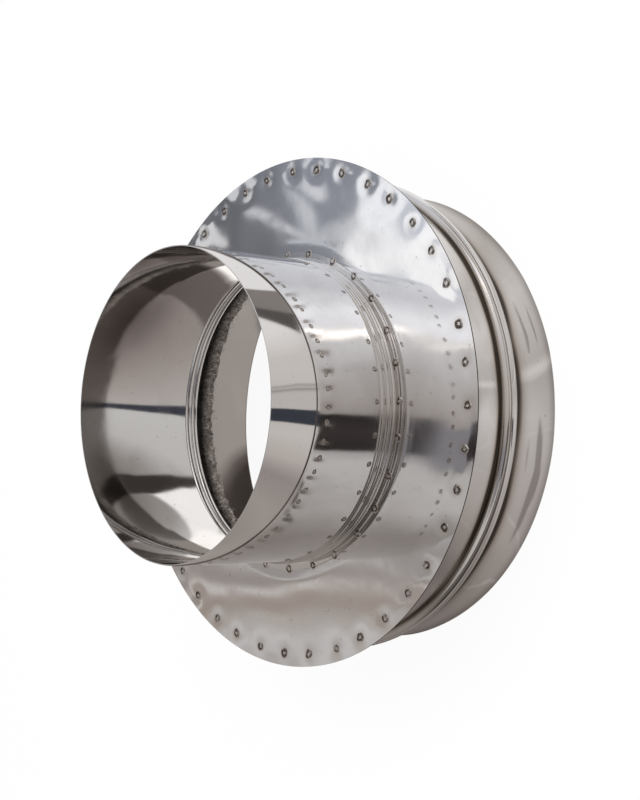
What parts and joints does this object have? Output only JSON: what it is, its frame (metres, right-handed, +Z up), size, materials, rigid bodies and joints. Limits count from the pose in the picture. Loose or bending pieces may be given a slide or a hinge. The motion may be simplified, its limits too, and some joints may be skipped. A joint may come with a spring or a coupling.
{
  "type": "chimney reducer",
  "caption": "Spot-welded stainless reducer that joins a narrow single-wall flue end to a wide shell through a flat cover disc.",
  "frame": {"origin": "centre of the wide rear rim, on the surface it stands on", "axes": "+Z up the flue axis towards the narrow end, -Y towards the side where the sleeve's front edge is cut back furthest"},
  "size_m": [0.3412, 0.3412, 0.19],
  "materials": {
    "pipe_sheet": "bright rolled stainless sheet, mirror bright with faint rolling marks",
    "sleeve_sheet": "bright rolled stainless sheet with slight waves",
    "disc_sheet": "bright flat stainless sheet with slight waves and smudges",
    "shell_sheet": "bright rolled stainless sheet with slight waves",
    "mineral_wool": "matt, coarse, fibrous and dusty",
    "spot_weld": "heat-tinted steel, dull round marks"
  },
  "bodies": {
    "root": {"inner_pipe": "pipe_sheet", "outer_sleeve": "sleeve_sheet", "cover_disc": "disc_sheet", "outer_shell": "shell_sheet", "wool_ring": "mineral_wool", "sleeve_front_welds": "spot_weld", "sleeve_rear_welds": "spot_weld", "collar_welds": "spot_weld", "disc_rim_welds": "spot_weld"}
  },
  "joints": []
}
